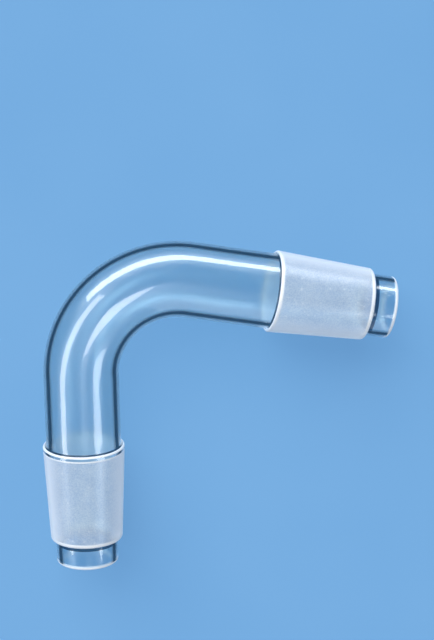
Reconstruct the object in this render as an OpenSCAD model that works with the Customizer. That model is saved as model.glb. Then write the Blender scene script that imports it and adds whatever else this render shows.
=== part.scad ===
// Bent glass adapter with a ground taper joint and a plain drip tip on each leg.
// One blown piece: a tube turned through a round bend, its ends swollen into joints.
// It lies on its side: the bend is level, the lower leg runs to -Y and the upper leg to +X.

/* [Tube] */
// Outside diameter of the tube
tube_d = 22; // [19:0.5:22]
// Wall of the tube
tube_wall = 1.8; // [1.2:0.1:2.6]

/* [Bend] */
// Angle between the two legs
bend_angle = 78; // [60:1:90]
// Radius of the bend at the middle of the tube
bend_r = 27; // [20:1:50]
// Straight tube between the bend and the lower joint
lower_leg = 21.5; // [10:0.5:60]
// Straight tube between the bend and the upper joint
upper_leg = 24.5; // [10:0.5:60]

/* [Ground joints] */
// Diameter of the taper at its wide end
joint_d = 24; // [24:0.5:29]
// Length of the taper
joint_len = 29; // [24:0.5:32]
// Length of taper that loses 1 of diameter
joint_taper = 10; // [10:0.5:14]
// Rounding of the wide edge
wide_edge_r = 0.5; // [0.2:0.1:0.5]
// Rounding of the narrow edge
narrow_edge_r = 0.9; // [0.4:0.1:0.9]

/* [Drip tips] */
// Outside diameter of the plain tip
tip_d = 18.2; // [14:0.2:18.2]
// Length of the tip beyond the joint
tip_len = 7.2; // [4:0.2:14]
// Wall of the tip, melted round at the mouth
tip_wall = 1.8; // [1.2:0.1:2.4]
// Fillet where the outside steps down to the tube or the tip
step_fillet_r = 0.4; // [0.2:0.1:0.4]

/* [Hidden] */
$fn = 96;

tube_r = tube_d / 2;
bore_r = tube_r - tube_wall;
joint_r = joint_d / 2;
joint_slope = 1 / (2 * joint_taper);
joint_lean = atan(joint_slope);
tip_r = tip_d / 2;
mouth_r = tip_r - tip_wall;
lip_r = tip_wall / 2;
lip_mid_r = tip_r - lip_r;
lip_at = joint_len + tip_len - lip_r;

// Each arm has half of the bend, and the halves share a short stretch of the same round
half_angle = bend_angle / 2;
shared_turn = 2;
half_turn = 90 - half_angle + shared_turn;

// Centre of an edge round that touches the taper, at height s along the joint
function edge_centre(s, r) = [joint_r - joint_slope * s - r / cos(joint_lean), s];

// Point where that round leaves the taper
function on_taper(centre, r) = centre + r * [cos(joint_lean), sin(joint_lean)];

wide = edge_centre(wide_edge_r, wide_edge_r);
narrow = edge_centre(joint_len - narrow_edge_r, narrow_edge_r);
widest_r = wide.x + wide_edge_r;

// Outline of the whole part round the centre of the bend, to put the origin under its middle
x_low = -bend_r - widest_r;
x_high = (bend_r + lip_mid_r) * cos(bend_angle) + (upper_leg + lip_at) * sin(bend_angle) + lip_r;
y_low = -lower_leg - joint_len - tip_len;
y_high = bend_r + tube_r;
middle = [(x_low + x_high) / 2, (y_low + y_high) / 2];

// Concave quarter fillet in the corner at a point, filling outwards along dir
module corner_fillet(corner, dir) {
    translate(corner) difference() {
        translate([0, dir > 0 ? 0 : -step_fillet_r]) square(step_fillet_r);
        translate([step_fillet_r, dir * step_fillet_r]) circle(step_fillet_r);
    }
}

// Half section of the outside of a joint and its tip, along +Y from the wide end
module joint_outside() {
    polygon([
        [0, 0],
        [wide.x, 0],
        on_taper(wide, wide_edge_r),
        on_taper(narrow, narrow_edge_r),
        [narrow.x, joint_len],
        [0, joint_len],
    ]);
    translate(wide) circle(wide_edge_r);
    translate(narrow) circle(narrow_edge_r);
    corner_fillet([tube_r, 0], -1);
    corner_fillet([tip_r, joint_len], 1);
    square([tip_r, lip_at]);
}

// Half section of the bore of a joint, which narrows to the mouth of the tip
module joint_bore() {
    polygon([
        [0, 0],
        [bore_r, 0],
        [mouth_r, joint_len],
        [mouth_r, lip_at],
        [0, lip_at],
    ]);
}

// Half section of the wall of a leg, along +Y from the bend, with a full round lip
module leg_wall(length) {
    difference() {
        union() {
            square([tube_r, length]);
            translate([0, length]) joint_outside();
        }
        square([bore_r, length]);
        translate([0, length]) joint_bore();
    }
    translate([lip_mid_r, length + lip_at]) circle(lip_r);
}

// One leg and its half of the bend, round the centre of the bend
module arm(length) {
    translate([bend_r, 0]) rotate([90, 0, 0]) rotate_extrude() leg_wall(length);
    rotate_extrude(angle = half_turn) translate([bend_r, 0]) difference() {
        circle(tube_r);
        circle(bore_r);
    }
}

module glass_bend() {
    color("lightsteelblue", 0.5) translate([-middle.x, -middle.y, widest_r]) rotate(half_angle) {
        rotate(half_angle) arm(upper_leg);
        rotate([0, 180, 0]) rotate(half_angle) arm(lower_leg);
    }
}

glass_bend();
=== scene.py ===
"""Bent glass adapter on a studio floor.

One blown tube, turned through a round bend, with a ground taper joint and a plain drip tip on each leg.
"""

import logging
import math
from dataclasses import dataclass, field
from enum import Enum
from typing import Iterator, Optional

import bpy
from mathutils import Matrix, Vector


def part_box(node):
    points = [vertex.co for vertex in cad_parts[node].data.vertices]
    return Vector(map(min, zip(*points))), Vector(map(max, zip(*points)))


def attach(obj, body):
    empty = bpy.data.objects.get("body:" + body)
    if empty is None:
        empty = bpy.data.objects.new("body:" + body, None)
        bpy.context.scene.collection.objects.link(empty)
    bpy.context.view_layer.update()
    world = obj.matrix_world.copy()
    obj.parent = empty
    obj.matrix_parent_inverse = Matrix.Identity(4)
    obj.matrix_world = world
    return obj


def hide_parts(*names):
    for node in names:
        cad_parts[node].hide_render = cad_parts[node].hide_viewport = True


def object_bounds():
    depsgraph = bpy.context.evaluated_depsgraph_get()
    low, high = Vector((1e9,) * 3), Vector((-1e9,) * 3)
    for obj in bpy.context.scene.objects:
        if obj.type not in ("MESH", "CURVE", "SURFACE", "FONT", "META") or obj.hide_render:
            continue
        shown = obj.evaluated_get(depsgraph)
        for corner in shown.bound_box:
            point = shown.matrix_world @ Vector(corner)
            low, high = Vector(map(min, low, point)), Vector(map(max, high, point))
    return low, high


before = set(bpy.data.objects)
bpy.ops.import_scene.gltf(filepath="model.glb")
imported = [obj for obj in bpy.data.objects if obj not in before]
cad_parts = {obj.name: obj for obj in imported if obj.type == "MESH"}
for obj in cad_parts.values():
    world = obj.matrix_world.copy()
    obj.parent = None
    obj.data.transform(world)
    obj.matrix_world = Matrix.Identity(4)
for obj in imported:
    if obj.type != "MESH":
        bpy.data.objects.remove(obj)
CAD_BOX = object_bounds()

log = logging.getLogger("glass_adapter")

MM = 0.001
PHOTO_SIZE = (434, 640)

# The sRGB curve is straight up to its knee and a power above it
SRGB_KNEE = 0.04045
SRGB_SLOPE = 12.92
SRGB_OFFSET = 0.055
SRGB_POWER = 2.4

# Blend of Layer Weight at which Facing is 1 minus the cosine: 0 seen square on, 1 along the surface
PLAIN_BLEND = 0.5

# Refraction of hard lab glass, which every finish of the piece shares
GLASS_IOR = 1.474


def linear(code: str) -> tuple[float, float, float, float]:
    """Turn an sRGB hex colour into the linear colour that shaders take.

    Args:
        code: Six hex digits after a hash sign.

    Returns:
        Linear red, green, blue and an alpha of 1.
    """
    parts = (int(code[i : i + 2], 16) / 255 for i in (1, 3, 5))
    curved = (
        c / SRGB_SLOPE if c <= SRGB_KNEE else ((c + SRGB_OFFSET) / (1 + SRGB_OFFSET)) ** SRGB_POWER
        for c in parts
    )
    return (*curved, 1.0)


def add_node(
    tree: bpy.types.NodeTree,
    kind: str,
    settings: Optional[dict] = None,
    values: Optional[dict] = None,
    links: Optional[dict] = None,
) -> bpy.types.Node:
    """Add one node to a tree, set it up and link it.

    Args:
        tree: Node tree that gets the node.
        kind: Node's type name.
        settings: Properties of the node itself.
        values: Input sockets, by name or number, that get a fixed value.
        links: Input sockets, by name or number, that take another node's output.

    Returns:
        The new node.
    """
    node = tree.nodes.new(kind)
    for name, value in (settings or {}).items():
        setattr(node, name, value)
    for name, value in (values or {}).items():
        node.inputs[name].default_value = value
    for name, source in (links or {}).items():
        tree.links.new(source, node.inputs[name])
    return node


def cells(size_mm: float) -> float:
    """Give the texture scale whose cells are about this many millimetres wide."""
    return 1 / (size_mm * MM)


def new_tree(name: str) -> tuple[bpy.types.Material, bpy.types.NodeTree]:
    """Make an empty node material.

    Args:
        name: Name of the material.

    Returns:
        The material and its cleared node tree.
    """
    material = bpy.data.materials.new(name)
    material.use_nodes = True
    material.node_tree.nodes.clear()
    return material, material.node_tree


def set_ramp(ramp: bpy.types.Node, stops: list[tuple[float, str]]) -> None:
    """Give a colour ramp its stops.

    Args:
        ramp: Colour ramp node.
        stops: Position and hex colour of each stop, in order.
    """
    band = ramp.color_ramp.elements
    while len(band) < len(stops):
        band.new(1.0)
    for element, (place, code) in zip(band, stops):
        element.position = place
        element.color = linear(code)


def let_lamps_through(tree: bpy.types.NodeTree, glass: bpy.types.Node, tint: str) -> None:
    """Finish a glass so that it casts the pale shadow of glass and not a solid one.

    Args:
        tree: Node tree of the material.
        glass: Its shader node.
        tint: Colour of the lamp light that one skin of the glass lets through.
    """
    path = add_node(tree, "ShaderNodeLightPath")
    clear = add_node(tree, "ShaderNodeBsdfTransparent", values={"Color": linear(tint)})
    either = add_node(
        tree,
        "ShaderNodeMixShader",
        links={0: path.outputs["Is Shadow Ray"], 1: glass.outputs["BSDF"], 2: clear.outputs["BSDF"]},
    )
    add_node(tree, "ShaderNodeOutputMaterial", links={"Surface": either.outputs["Shader"]})


@dataclass(frozen=True)
class DrawnGlass:
    """Drawn lab glass tube, clear and fire polished.

    The wall lets nearly all light through with a faint cold tint. Towards its limb the tube has painted
    shade:
    its edge is painted deep blue before the last bright line of the outline. A tube that was softened and
    turned by hand is never quite even, so its streaks waver a little and have soft edges.
    """

    name: str = "drawn_lab_glass"
    face_colour: str = "#F1F6F7"
    wall_colour: str = "#E8F1F4"
    # Painted shade: the limb is painted this dark, so the tube shows a dark outline where it is seen edge on
    painted_limb_shade: str = "#02121F"
    edge_colour: str = "#DCEBF4"
    shadow_colour: str = "#F3F7F9"
    # Where the colours change, from 0 seen square on to 1 seen along the surface
    wall_until: float = 0.39
    limb_from: float = 0.50
    limb_until: float = 0.62
    edge_from: float = 0.74
    roughness: float = 0.06
    wave_mm: float = 9.0
    wave_height_mm: float = 0.02
    wave_strength: float = 0.6

    def make(self) -> bpy.types.Material:
        """Build the material.

        Returns:
            The finished material.
        """
        material, tree = new_tree(self.name)
        facing = add_node(tree, "ShaderNodeLayerWeight", values={"Blend": PLAIN_BLEND})
        # Ramp from the glass's tint to the painted limb shade towards its edge
        tint_and_limb_shade = add_node(tree, "ShaderNodeValToRGB", links={"Fac": facing.outputs["Facing"]})
        set_ramp(
            tint_and_limb_shade,
            [
                (0.0, self.face_colour),
                (self.wall_until, self.wall_colour),
                (self.limb_from, self.painted_limb_shade),
                (self.limb_until, self.painted_limb_shade),
                (self.edge_from, self.edge_colour),
            ],
        )
        place = add_node(tree, "ShaderNodeTexCoord")
        wave = add_node(
            tree,
            "ShaderNodeTexNoise",
            values={"Scale": cells(self.wave_mm), "Detail": 1.0},
            links={"Vector": place.outputs["Object"]},
        )
        bump = add_node(
            tree,
            "ShaderNodeBump",
            values={"Strength": self.wave_strength, "Distance": self.wave_height_mm * MM},
            links={"Height": wave.outputs["Fac"]},
        )
        glass = add_node(
            tree,
            "ShaderNodeBsdfPrincipled",
            values={"Roughness": self.roughness, "IOR": GLASS_IOR, "Transmission Weight": 1.0},
            links={"Base Color": tint_and_limb_shade.outputs["Color"], "Normal": bump.outputs["Normal"]},
        )
        let_lamps_through(tree, glass, self.shadow_colour)
        return material


# Tint that the thickness of the wall gives to all that is seen through the bore
BORE_TINT = "#C4E0EA"


@dataclass(frozen=True)
class BoreGlass(DrawnGlass):
    """The inside of the tube, which nothing smoothed after the bending.

    It is wavier than the outside, so lamps shine in it as soft glows. Its tint is even and has no painted
    limb shade.
    """

    name: str = "drawn_bore_glass"
    face_colour: str = BORE_TINT
    wall_colour: str = BORE_TINT
    painted_limb_shade: str = BORE_TINT
    edge_colour: str = BORE_TINT
    roughness: float = 0.28


@dataclass(frozen=True)
class TipGlass(DrawnGlass):
    """The tips, narrower than the tube with as thick a wall, so they look a little darker than the legs."""

    name: str = "drawn_tip_glass"
    face_colour: str = "#D0E2EA"
    wall_colour: str = "#C8DCE6"


@dataclass(frozen=True)
class StepShadeGlass(DrawnGlass):
    """The corners of the steps beside a joint, with painted shade: the glass there is painted nearly black.
    """

    name: str = "painted_step_shade"
    face_colour: str = "#0C2A42"
    wall_colour: str = "#0C2A42"


@dataclass(frozen=True)
class GroundGlass:
    """The same glass where it is ground with grit to a matt taper.

    Thousands of tiny chips scatter the light, so it looks white, faintly blue and speckled, and only a blur
    shows through. The edges of the taper, seen along the surface, are painted whiter as a painted sheen.
    """

    name: str = "ground_taper_glass"
    chip_colour: str = "#E9F0F7"
    pit_colour: str = "#BCCDE2"
    # Painted sheen: the edges, seen along the surface, are painted towards this white
    edge_colour: str = "#F2F8FF"
    shadow_colour: str = "#D4DCE4"
    # How much light goes through, and the share of that where the surface is whitest
    see_through: float = 0.62
    white_share: float = 0.35
    # Real grit marks are about 0.05 mm, too fine to show, so the speckle is drawn coarser
    grain_mm: float = 0.45
    grain_height_mm: float = 0.03
    grain_strength: float = 0.7
    cloud_mm: float = 5.0
    cloud_share: float = 0.35
    # Levels of grain and cloud together that are all pit and all chip
    pit_level: float = 0.45
    chip_level: float = 0.85
    # Where the painted edge sheen starts and is whitest, from 0 seen square on to 1 seen along the surface
    edge_from: float = 0.22
    edge_until: float = 0.62
    # Lone deep chips: the gap between them, their core and faded rim as shares of it, and their whiteness
    lone_gap_mm: float = 2.0
    lone_core: float = 0.09
    lone_rim: float = 0.18
    lone_white: float = 0.85
    # Grain levels between which the roughness climbs, and its two ends
    low_grain: float = 0.3
    high_grain: float = 0.7
    smoothest: float = 0.28
    roughest: float = 0.40

    def speckle(
        self, tree: bpy.types.NodeTree, place: bpy.types.NodeSocket, grain: bpy.types.NodeSocket
    ) -> bpy.types.NodeSocket:
        """Colour the fine grain from pit to chip, with faint clouds over it.

        Args:
            tree: Node tree of the material.
            place: Socket with the point on the piece.
            grain: Socket with the grain's level.

        Returns:
            Socket with the colour.
        """
        cloud = add_node(
            tree,
            "ShaderNodeTexNoise",
            values={"Scale": cells(self.cloud_mm), "Detail": 2.0},
            links={"Vector": place},
        )
        mottle = add_node(
            tree,
            "ShaderNodeMath",
            settings={"operation": "MULTIPLY_ADD"},
            values={1: self.cloud_share},
            links={0: cloud.outputs["Fac"], 2: grain},
        )
        colour = add_node(tree, "ShaderNodeValToRGB", links={"Fac": mottle.outputs["Value"]})
        set_ramp(colour, [(self.pit_level, self.pit_colour), (self.chip_level, self.chip_colour)])
        return colour.outputs["Color"]

    def whiteness(self, tree: bpy.types.NodeTree, place: bpy.types.NodeSocket) -> bpy.types.NodeSocket:
        """Find how white the surface is: painted sheen at its edges, and where a hard grain dug in and left
        a lone chip.

        Args:
            tree: Node tree of the material.
            place: Socket with the point on the piece.

        Returns:
            Socket with the whiteness, from 0 to 1.
        """
        # Painted sheen: whiter where the surface is seen edge on
        facing = add_node(tree, "ShaderNodeLayerWeight", values={"Blend": PLAIN_BLEND})
        edge = add_node(
            tree,
            "ShaderNodeMapRange",
            values={"From Min": self.edge_from, "From Max": self.edge_until},
            links={"Value": facing.outputs["Facing"]},
        )
        gap = add_node(
            tree,
            "ShaderNodeTexVoronoi",
            values={"Scale": cells(self.lone_gap_mm)},
            links={"Vector": place},
        )
        lone = add_node(
            tree,
            "ShaderNodeMapRange",
            values={
                "From Min": self.lone_core,
                "From Max": self.lone_rim,
                "To Min": self.lone_white,
                "To Max": 0.0,
            },
            links={"Value": gap.outputs["Distance"]},
        )
        white = add_node(
            tree,
            "ShaderNodeMath",
            settings={"operation": "MAXIMUM"},
            links={0: edge.outputs["Result"], 1: lone.outputs["Result"]},
        )
        return white.outputs["Value"]

    def make(self) -> bpy.types.Material:
        """Build the material.

        Returns:
            The finished material.
        """
        material, tree = new_tree(self.name)
        place = add_node(tree, "ShaderNodeTexCoord").outputs["Object"]
        noise = add_node(
            tree,
            "ShaderNodeTexNoise",
            values={"Scale": cells(self.grain_mm), "Detail": 3.0, "Roughness": 0.7},
            links={"Vector": place},
        )
        grain = noise.outputs["Fac"]
        white = self.whiteness(tree, place)
        # Inputs 6 and 7 are the two colours of a Mix node, and output 2 is their mix
        whitened = add_node(
            tree,
            "ShaderNodeMix",
            settings={"data_type": "RGBA"},
            values={7: linear(self.edge_colour)},
            links={0: white, 6: self.speckle(tree, place, grain)},
        )
        clear = add_node(
            tree,
            "ShaderNodeMapRange",
            values={"To Min": self.see_through, "To Max": self.see_through * self.white_share},
            links={"Value": white},
        )
        matt = add_node(
            tree,
            "ShaderNodeMapRange",
            values={
                "From Min": self.low_grain,
                "From Max": self.high_grain,
                "To Min": self.smoothest,
                "To Max": self.roughest,
            },
            links={"Value": grain},
        )
        bump = add_node(
            tree,
            "ShaderNodeBump",
            values={"Strength": self.grain_strength, "Distance": self.grain_height_mm * MM},
            links={"Height": grain},
        )
        glass = add_node(
            tree,
            "ShaderNodeBsdfPrincipled",
            values={"IOR": GLASS_IOR},
            links={
                "Base Color": whitened.outputs[2],
                "Transmission Weight": clear.outputs["Result"],
                "Roughness": matt.outputs["Result"],
                "Normal": bump.outputs["Normal"],
            },
        )
        let_lamps_through(tree, glass, self.shadow_colour)
        return material


@dataclass(frozen=True)
class RimHighlightGlass(GroundGlass):
    """The edges of a taper and the line where it starts, painted bright white as highlight lines."""

    name: str = "painted_rim_highlight"
    chip_colour: str = "#F6FAFF"
    pit_colour: str = "#E6EFFA"
    see_through: float = 0.05


@dataclass(frozen=True)
class LipHighlightGlass(RimHighlightGlass):
    """The lip, cut off and melted round, painted as a white highlight line too, but some of the light goes
    through.
    """

    name: str = "painted_lip_highlight"
    see_through: float = 0.25


@dataclass(frozen=True)
class StudioPaper:
    """Pale blue matt paper of a studio table, with the faint unevenness of its fibres."""

    name: str = "studio_paper"
    colour: str = "#79B1E5"
    shade: str = "#75AEE3"
    # Real fibres are too fine to show, so the unevenness is drawn far coarser
    fibre_mm: float = 60.0
    # Levels of the unevenness that are all shade and all colour
    shade_level: float = 0.3
    colour_level: float = 0.7

    def make(self) -> bpy.types.Material:
        """Build the material.

        Returns:
            The finished material.
        """
        material, tree = new_tree(self.name)
        place = add_node(tree, "ShaderNodeTexCoord")
        fibre = add_node(
            tree,
            "ShaderNodeTexNoise",
            values={"Scale": cells(self.fibre_mm)},
            links={"Vector": place.outputs["Object"]},
        )
        tone = add_node(tree, "ShaderNodeValToRGB", links={"Fac": fibre.outputs["Fac"]})
        set_ramp(tone, [(self.shade_level, self.shade), (self.colour_level, self.colour)])
        paper = add_node(
            tree,
            "ShaderNodeBsdfPrincipled",
            values={"Roughness": 0.9, "Specular IOR Level": 0.15},
            links={"Base Color": tone.outputs["Color"]},
        )
        add_node(tree, "ShaderNodeOutputMaterial", links={"Surface": paper.outputs["BSDF"]})
        return material


class Finish(Enum):
    """What was done to a stretch of the skin, or the light or shade that is painted on it."""

    CLEAR = "drawn smooth"
    BORE = "drawn smooth, inside"
    TIP = "drawn narrow for the tip"
    GROUND = "ground with grit"
    # Painted highlight: white lines on the taper's edges and where the grinding starts
    RIM_HIGHLIGHT = "bruised by the grinding wheel"
    # Painted shade: glass painted nearly black in the corners of the steps
    STEP = "thick glass in the corner of a step"
    # Painted highlight: the melted lip is painted as a white line
    LIP_HIGHLIGHT = "cut and melted round"


@dataclass(frozen=True)
class Ring:
    """One ring of the wall: how far along its leg it lies, and its radius, in millimetres."""

    along: float
    radius: float


def round_off(
    along: float, radius: float, size: float, first: float, last: float, steps: int
) -> list[Ring]:
    """Lay rings round an edge or a fillet.

    Args:
        along: Where the round's centre lies along the leg.
        radius: Distance of that centre from the leg's axis.
        size: Radius of the round.
        first: Angle of the first ring, in degrees: 0 points away from the axis and 90 along the leg.
        last: Angle of the last ring.
        steps: Number of steps between them.

    Returns:
        The rings in order.
    """
    turns = [math.radians(first + (last - first) * i / steps) for i in range(steps + 1)]
    return [Ring(along + size * math.sin(t), radius + size * math.cos(t)) for t in turns]


@dataclass(frozen=True)
class TaperJoint:
    """Standard 24/29 ground taper with its plain tip, in millimetres along the leg from the wide end."""

    wide_d: float = 24.0
    length: float = 29.0
    # Length of taper that loses 1 of diameter
    taper: float = 10.0
    # Radii of the rounds on the taper's two edges
    wide_edge: float = 0.5
    narrow_edge: float = 0.9
    tip_d: float = 18.2
    tip_length: float = 7.2
    tip_wall: float = 1.8
    fillet: float = 0.4
    # Where the grinding starts, and the width of each painted highlight line on the taper's edges and there
    clear_band: float = 1.3
    rim_line: float = 0.45
    # Width of the painted shade band at the corner of the tip, and the end of the taper that lies in it
    step_line: float = 1.25
    step_edge: float = 0.27
    round_steps: int = 6
    taper_rings: int = 12

    @property
    def lean(self) -> float:
        """Angle of the taper's side to the axis, in degrees."""
        return math.degrees(math.atan(1 / (2 * self.taper)))

    @property
    def narrow_at(self) -> float:
        """Where the middle of the narrow edge's round lies."""
        return self.length - self.narrow_edge

    @property
    def tip_r(self) -> float:
        """Outside radius of the tip."""
        return self.tip_d / 2

    @property
    def lip(self) -> float:
        """Radius of the melted round lip."""
        return self.tip_wall / 2

    @property
    def lip_along(self) -> float:
        """Where the middle of the lip's round lies."""
        return self.length + self.tip_length - self.lip

    @property
    def lip_middle(self) -> float:
        """Distance of the lip's middle from the axis."""
        return self.tip_r - self.lip

    def finish(self, along: float) -> Finish:
        """Tell what was done to the outside at a place along the joint.

        Both edges of the taper, and the line where the grinding starts past a clear band, are painted as
        bright highlight lines; the corners of the steps get painted shade.

        Args:
            along: Distance from the wide end.

        Returns:
            The finish there.
        """
        step_from = self.length - self.step_edge
        if along > self.lip_along:
            return Finish.LIP_HIGHLIGHT
        if along < 0 or step_from < along < step_from + self.step_line:
            return Finish.STEP
        if 0 < along < self.wide_edge or self.clear_band < along < self.clear_band + self.rim_line:
            return Finish.RIM_HIGHLIGHT
        if self.narrow_at - self.rim_line < along < step_from:
            return Finish.RIM_HIGHLIGHT
        if along > self.length:
            return Finish.TIP
        return Finish.GROUND if self.clear_band < along < self.narrow_at else Finish.CLEAR

    def side(self, along: float) -> float:
        """Give the taper's radius at a place along it."""
        return self.wide_d / 2 - along / (2 * self.taper)

    def bore_at(self, along: float, bore_r: float) -> float:
        """Give the bore's radius along the joint, where it narrows from the tube's bore to the mouth."""
        mouth_r = self.tip_r - self.tip_wall
        return mouth_r + (bore_r - mouth_r) * min(1.0, max(0.0, 1 - along / self.length))

    def edge_centre(self, along: float, size: float) -> float:
        """Give the distance from the axis of an edge round that touches the taper."""
        return self.side(along) - size / math.cos(math.radians(self.lean))

    def outside(self, tube_r: float) -> Iterator[Ring]:
        """Walk the outside from the tube to the middle of the lip.

        Args:
            tube_r: Outside radius of the tube that the joint is blown on.

        Yields:
            Each ring in turn.
        """
        steps = self.round_steps
        fillet = self.fillet
        wide = self.edge_centre(self.wide_edge, self.wide_edge)
        narrow = self.edge_centre(self.narrow_at, self.narrow_edge)
        yield from round_off(-fillet, tube_r + fillet, fillet, 180, 90, steps)
        yield from round_off(self.wide_edge, wide, self.wide_edge, -90, self.lean, steps)
        yield Ring(self.clear_band, self.side(self.clear_band))
        first = self.clear_band + self.rim_line
        last = self.narrow_at - self.rim_line
        for i in range(self.taper_rings + 1):
            along = first + (last - first) * i / self.taper_rings
            yield Ring(along, self.side(along))
        yield from round_off(self.narrow_at, narrow, self.narrow_edge, self.lean, 90, steps)
        yield from round_off(self.length + fillet, self.tip_r + fillet, fillet, 270, 180, steps)
        yield Ring(self.length + self.step_line, self.tip_r)
        yield from round_off(self.lip_along, self.lip_middle, self.lip, 0, 90, steps)

    def bore(self, bore_r: float) -> Iterator[Ring]:
        """Walk the bore from just inside the lip back to the tube.

        Args:
            bore_r: Radius of the tube's bore.

        Yields:
            Each ring in turn.
        """
        yield from round_off(self.lip_along, self.lip_middle, self.lip, 90, 180, self.round_steps)[1:]
        for i in range(self.taper_rings + 1):
            along = self.length * (1 - i / self.taper_rings)
            yield Ring(along, self.bore_at(along, bore_r))


@dataclass(frozen=True)
class Leg:
    """Straight stretch of tube from the bend to its joint, in millimetres."""

    start: Vector
    direction: Vector
    length: float
    joint: TaperJoint

    def at(self, along: float) -> Vector:
        """Give the point on the leg's axis this far from the bend, in metres."""
        return (self.start + self.direction * along) * MM


@dataclass
class GlassBend:
    """The blown piece: a round bend between two legs, each with a taper joint and a tip, in millimetres."""

    tube_r: float = 11.0
    bore_r: float = 9.2
    bend_r: float = 27.0
    legs_angle: float = 78.0
    lower_length: float = 21.5
    upper_length: float = 24.5
    lower_joint: TaperJoint = TaperJoint()
    # The upper taper is ground almost up to its wide end
    upper_joint: TaperJoint = TaperJoint(clear_band=0.5)
    sides: int = 128
    bend_steps: int = 56
    leg_rings: int = 6
    merge_gap: float = 0.002
    crease_deg: float = 40.0
    # Worked out from the frame: the middle of the bend, and the legs
    centre: Vector = field(init=False)
    lower: Leg = field(init=False)
    upper: Leg = field(init=False)

    def __post_init__(self) -> None:
        """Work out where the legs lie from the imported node's box."""
        low, high = (Vector(corner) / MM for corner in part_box("glass_bend"))
        reach = self.lower_length + self.lower_joint.length + self.lower_joint.tip_length
        widest = (high.z - low.z) / 2
        turn = math.radians(self.legs_angle)
        self.centre = Vector((low.x + widest + self.bend_r, low.y + reach, low.z + widest))
        start = self.centre - Vector((self.bend_r, 0, 0))
        self.lower = Leg(start, Vector((0, -1, 0)), self.lower_length, self.lower_joint)
        start = self.centre + Vector((math.cos(turn), math.sin(turn), 0)) * self.bend_r
        along = Vector((math.sin(turn), -math.cos(turn), 0))
        self.upper = Leg(start, along, self.upper_length, self.upper_joint)

    def leg_outside(self, leg: Leg) -> list[Ring]:
        """List a leg's outer rings from the bend to the middle of its lip.

        Args:
            leg: The leg.

        Returns:
            The rings in order.
        """
        end = leg.length - leg.joint.fillet
        straight = [Ring(end * i / self.leg_rings, self.tube_r) for i in range(self.leg_rings)]
        return straight + [Ring(leg.length + r.along, r.radius) for r in leg.joint.outside(self.tube_r)]

    def leg_bore(self, leg: Leg) -> list[Ring]:
        """List a leg's inner rings from its lip back to the bend.

        Args:
            leg: The leg.

        Returns:
            The rings in order.
        """
        shares = [1 - i / self.leg_rings for i in range(1, self.leg_rings + 1)]
        straight = [Ring(leg.length * share, self.bore_r) for share in shares]
        return [Ring(leg.length + r.along, r.radius) for r in leg.joint.bore(self.bore_r)] + straight

    def run_along(self, leg: Leg, rings: list[Ring], last: Ring) -> Ring:
        """Extrude the selected ring from ring to ring along a leg.

        Args:
            leg: The leg that the rings lie on.
            rings: The rings to reach, in order.
            last: The ring that is selected now.

        Returns:
            The ring that is selected afterwards.
        """
        for ring in rings:
            move = leg.at(ring.along) - leg.at(last.along)
            bpy.ops.mesh.extrude_region_move(TRANSFORM_OT_translate={"value": move})
            grow = ring.radius / last.radius
            bpy.ops.transform.resize(value=(grow, grow, grow), center_override=leg.at(ring.along))
            last = ring
        return last

    def go_round(self, towards_upper: bool) -> None:
        """Spin the selected ring round the bend.

        Args:
            towards_upper: True from the lower leg to the upper leg, False back again.
        """
        turn = math.radians(180 - self.legs_angle)
        bpy.ops.mesh.spin(
            steps=self.bend_steps,
            angle=turn if towards_upper else -turn,
            center=self.centre * MM,
            axis=(0, 0, 1),
        )

    def build(self) -> bpy.types.Object:
        """Model the wall as one closed skin.

        It starts at the lower lip and runs up the lower leg, round the bend and out to the upper lip, then
        back through the bore.

        Returns:
            The finished mesh object, at the origin.
        """
        outer_low = self.leg_outside(self.lower)
        outer_up = self.leg_outside(self.upper)
        first = outer_low[-1]
        bpy.ops.object.select_all(action="DESELECT")
        bpy.ops.mesh.primitive_circle_add(
            vertices=self.sides,
            radius=first.radius * MM,
            fill_type="NOTHING",
            location=self.lower.at(first.along),
            rotation=self.lower.direction.to_track_quat("Z", "Y").to_euler(),
        )
        piece = bpy.context.object
        piece.name = piece.data.name = "glass_wall"
        bpy.ops.object.transform_apply(location=True, rotation=True, scale=True)
        bpy.ops.object.mode_set(mode="EDIT")
        bpy.ops.mesh.select_all(action="SELECT")
        self.run_along(self.lower, outer_low[-2::-1], first)
        self.go_round(towards_upper=True)
        last = self.run_along(self.upper, outer_up[1:], outer_up[0])
        self.run_along(self.upper, self.leg_bore(self.upper), last)
        self.go_round(towards_upper=False)
        bore_low = self.leg_bore(self.lower)[::-1]
        last = self.run_along(self.lower, bore_low[1:], bore_low[0])
        self.run_along(self.lower, [first], last)
        bpy.ops.mesh.select_all(action="SELECT")
        bpy.ops.mesh.remove_doubles(threshold=self.merge_gap * MM)
        bpy.ops.mesh.normals_make_consistent(inside=False)
        bpy.ops.object.mode_set(mode="OBJECT")
        bpy.ops.object.shade_smooth_by_angle(angle=math.radians(self.crease_deg))
        return piece

    def finish_at(self, point: Vector) -> Finish:
        """Tell what was done to the skin at a point.

        Args:
            point: Point in metres.

        Returns:
            The finish there.
        """
        place = point / MM
        spoke = place - self.centre
        across = math.hypot(Vector((spoke.x, spoke.y)).length - self.bend_r, spoke.z)
        for leg in (self.lower, self.upper):
            offset = place - leg.start
            along = offset.dot(leg.direction)
            if along > 0:
                across = (offset - leg.direction * along).length
            joint = leg.joint
            beyond = along - leg.length
            if beyond > -joint.fillet:
                bore_side = joint.bore_at(beyond, self.bore_r) + joint.lip
                inside = across < bore_side and beyond < joint.lip_along
                return Finish.BORE if inside else joint.finish(beyond)
        return Finish.BORE if across < (self.bore_r + self.tube_r) / 2 else Finish.CLEAR

    def dress(self, piece: bpy.types.Object) -> None:
        """Give each stretch of the skin the glass of its finish.

        Args:
            piece: The mesh from build.
        """
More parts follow.
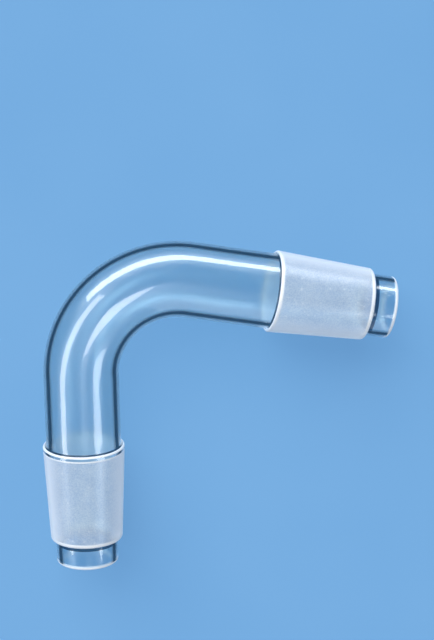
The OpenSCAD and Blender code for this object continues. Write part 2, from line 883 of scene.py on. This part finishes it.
        # The rim and lip glasses carry painted highlights, and the step glass carries painted shade
        looks = {
            Finish.CLEAR: DrawnGlass(),
            Finish.BORE: BoreGlass(),
            Finish.TIP: TipGlass(),
            Finish.GROUND: GroundGlass(),
            Finish.STEP: StepShadeGlass(),
            Finish.RIM_HIGHLIGHT: RimHighlightGlass(),
            Finish.LIP_HIGHLIGHT: LipHighlightGlass(),
        }
        for look in looks.values():
            piece.data.materials.append(look.make())
        order = list(looks)
        for face in piece.data.polygons:
            face.material_index = order.index(self.finish_at(face.center))


@dataclass(frozen=True)
class SoftLamp:
    """A strip softbox between two points, with the brightness of its face.

    Points and width are in millimetres in the row's frame.
    """

    name: str
    start: tuple[float, float, float]
    end: tuple[float, float, float]
    width: float
    brightness: float

    def place(self, aim: Vector) -> bpy.types.Object:
        """Hang the lamp.

        Args:
            aim: Point that it faces, in metres.

        Returns:
            The lamp object.
        """
        first = Vector(self.start) * MM
        last = Vector(self.end) * MM
        data = bpy.data.lights.new(self.name, "AREA")
        data.shape = "RECTANGLE"
        data.size = (last - first).length
        data.size_y = self.width * MM
        data.energy = self.brightness * math.pi * data.size * data.size_y
        lamp = bpy.data.objects.new(data.name, data)
        bpy.context.collection.objects.link(lamp)
        # The boxes only give the bright streaks in the glass, and the key light and the room light the paper
        lamp.visible_camera = lamp.visible_diffuse = False
        middle = (first + last) / 2
        along = (last - first).normalized()
        out = (middle - aim - along * (middle - aim).dot(along)).normalized()
        turn = Matrix((along, out.cross(along), out)).transposed()
        lamp.matrix_world = Matrix.Translation(middle) @ turn.to_4x4()
        return lamp


@dataclass(frozen=True)
class KeyLight:
    """Broad even light from one side that gives the part its soft shadow.

    Its level is how bright it makes white paper that lies flat, where 1 is white.
    """

    comes_from: tuple[float, float, float] = (-0.40, 0.75, 0.53)
    wide_deg: float = 45.0
    level: float = 0.42

    def make(self) -> bpy.types.Object:
        """Hang the light.

        Returns:
            The light object.
        """
        towards = Vector(self.comes_from).normalized()
        data = bpy.data.lights.new("key_light", "SUN")
        data.angle = math.radians(self.wide_deg)
        data.energy = self.level * math.pi / towards.z
        lamp = bpy.data.objects.new(data.name, data)
        bpy.context.collection.objects.link(lamp)
        lamp.rotation_euler = towards.to_track_quat("Z", "Y").to_euler()
        # The softboxes give the streaks in the glass, so this light makes none
        lamp.visible_camera = lamp.visible_glossy = lamp.visible_transmission = False
        return lamp


@dataclass(frozen=True)
class Camera:
    """The photograph's viewpoint, fitted to the outlines of the part.

    Its place is in millimetres in the row's frame, and its focal length is in pixels of the photograph.
    """

    place: tuple[float, float, float] = (-137.778, 284.079, 845.063)
    right: tuple[float, float, float] = (0.985395, -0.021107, 0.168971)
    up: tuple[float, float, float] = (0.069733, 0.955288, -0.287336)
    focal_px: float = 3031.8
    sensor_mm: float = 36.0
    nearest_mm: float = 1.0

    def make(self) -> bpy.types.Object:
        """Build the camera and make it the scene's own.

        Returns:
            The camera object.
        """
        data = bpy.data.cameras.new("photo_camera")
        data.sensor_width = self.sensor_mm
        data.lens = self.focal_px * self.sensor_mm / max(PHOTO_SIZE)
        data.clip_start = self.nearest_mm * MM
        camera = bpy.data.objects.new(data.name, data)
        bpy.context.collection.objects.link(camera)
        right = Vector(self.right)
        up = Vector(self.up)
        turn = Matrix((right, up, right.cross(up))).transposed()
        camera.matrix_world = Matrix.Translation(Vector(self.place) * MM) @ turn.to_4x4()
        bpy.context.scene.camera = camera
        return camera


@dataclass(frozen=True)
class Studio:
    """The table, the lamps and the room that the part is seen in."""

    floor_mm: float = 6000.0
    room_colour: str = "#A9CDED"
    light_colour: str = "#FFFFFF"
    light_level: float = 0.55
    lamps: tuple[SoftLamp, ...] = (
        SoftLamp("softbox_left", (-446, -215, 164), (-299, 300, 248), width=115, brightness=7.5),
        SoftLamp("softbox_right", (280, -200, 270), (150, -98, 350), width=95, brightness=6.0),
        SoftLamp("softbox_over", (-130, -5, 447), (5, -5, 447), width=150, brightness=8.5),
        SoftLamp("softbox_top", (-340, 260, 52), (420, 483, 52), width=100, brightness=12),
        SoftLamp("softbox_bottom", (-90, -360, 200), (120, -360, 200), width=330, brightness=1.2),
    )

    def build_floor(self) -> bpy.types.Object:
        """Lay the table's paper under the part.

        Returns:
            The floor object.
        """
        bpy.ops.object.select_all(action="DESELECT")
        bpy.ops.mesh.primitive_plane_add(size=self.floor_mm * MM)
        floor = bpy.context.object
        floor.name = floor.data.name = "studio_floor"
        floor.data.materials.append(StudioPaper().make())
        return floor

    def build_room(self) -> None:
        """Fill the room with even light, and show a pale blue where the floor ends."""
        world = bpy.data.worlds.new("studio_room")
        bpy.context.scene.world = world
        world.use_nodes = True
        tree = world.node_tree
        tree.nodes.clear()
        path = add_node(tree, "ShaderNodeLightPath")
        seen = path.outputs["Is Camera Ray"]
        for kind in ("Is Glossy Ray", "Is Transmission Ray"):
            either = add_node(
                tree,
                "ShaderNodeMath",
                settings={"operation": "MAXIMUM"},
                links={0: seen, 1: path.outputs[kind]},
            )
            seen = either.outputs["Value"]
        light = add_node(
            tree,
            "ShaderNodeBackground",
            values={"Color": linear(self.light_colour), "Strength": self.light_level},
        )
        # A strength of 1 shows the colour as it is written
        show = add_node(
            tree,
            "ShaderNodeBackground",
            values={"Color": linear(self.room_colour), "Strength": 1.0},
        )
        room = add_node(
            tree,
            "ShaderNodeMixShader",
            links={0: seen, 1: light.outputs["Background"], 2: show.outputs["Background"]},
        )
        add_node(tree, "ShaderNodeOutputWorld", links={"Surface": room.outputs["Shader"]})

    def build(self, aim: Vector) -> None:
        """Set up the floor, the room and the lamps.

        Args:
            aim: Point that the lamps face, in metres.
        """
        log.info("floor %s", self.build_floor().name)
        self.build_room()
        log.info("lamp %s", KeyLight().make().name)
        for lamp in self.lamps:
            log.info("lamp %s", lamp.place(aim).name)


def main() -> None:
    """Build the part and its studio, and report each piece."""
    logging.basicConfig(level=logging.INFO, format="%(name)s: %(message)s")
    bpy.context.scene.view_settings.view_transform = "Standard"
    log.info("camera %s", Camera().make().name)
    bend = GlassBend()
    wall = bend.build()
    bend.dress(wall)
    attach(wall, "root")
    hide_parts("glass_bend")
    # Light reaches the paper straight through the glass, without the glare of a polished tube on a table
    wall.visible_diffuse = False
    log.info("piece %s: %d faces", wall.name, len(wall.data.polygons))
    low, high = (Vector(corner) for corner in CAD_BOX)
    Studio().build((low + high) / 2)


if __name__ == "__main__":
    main()
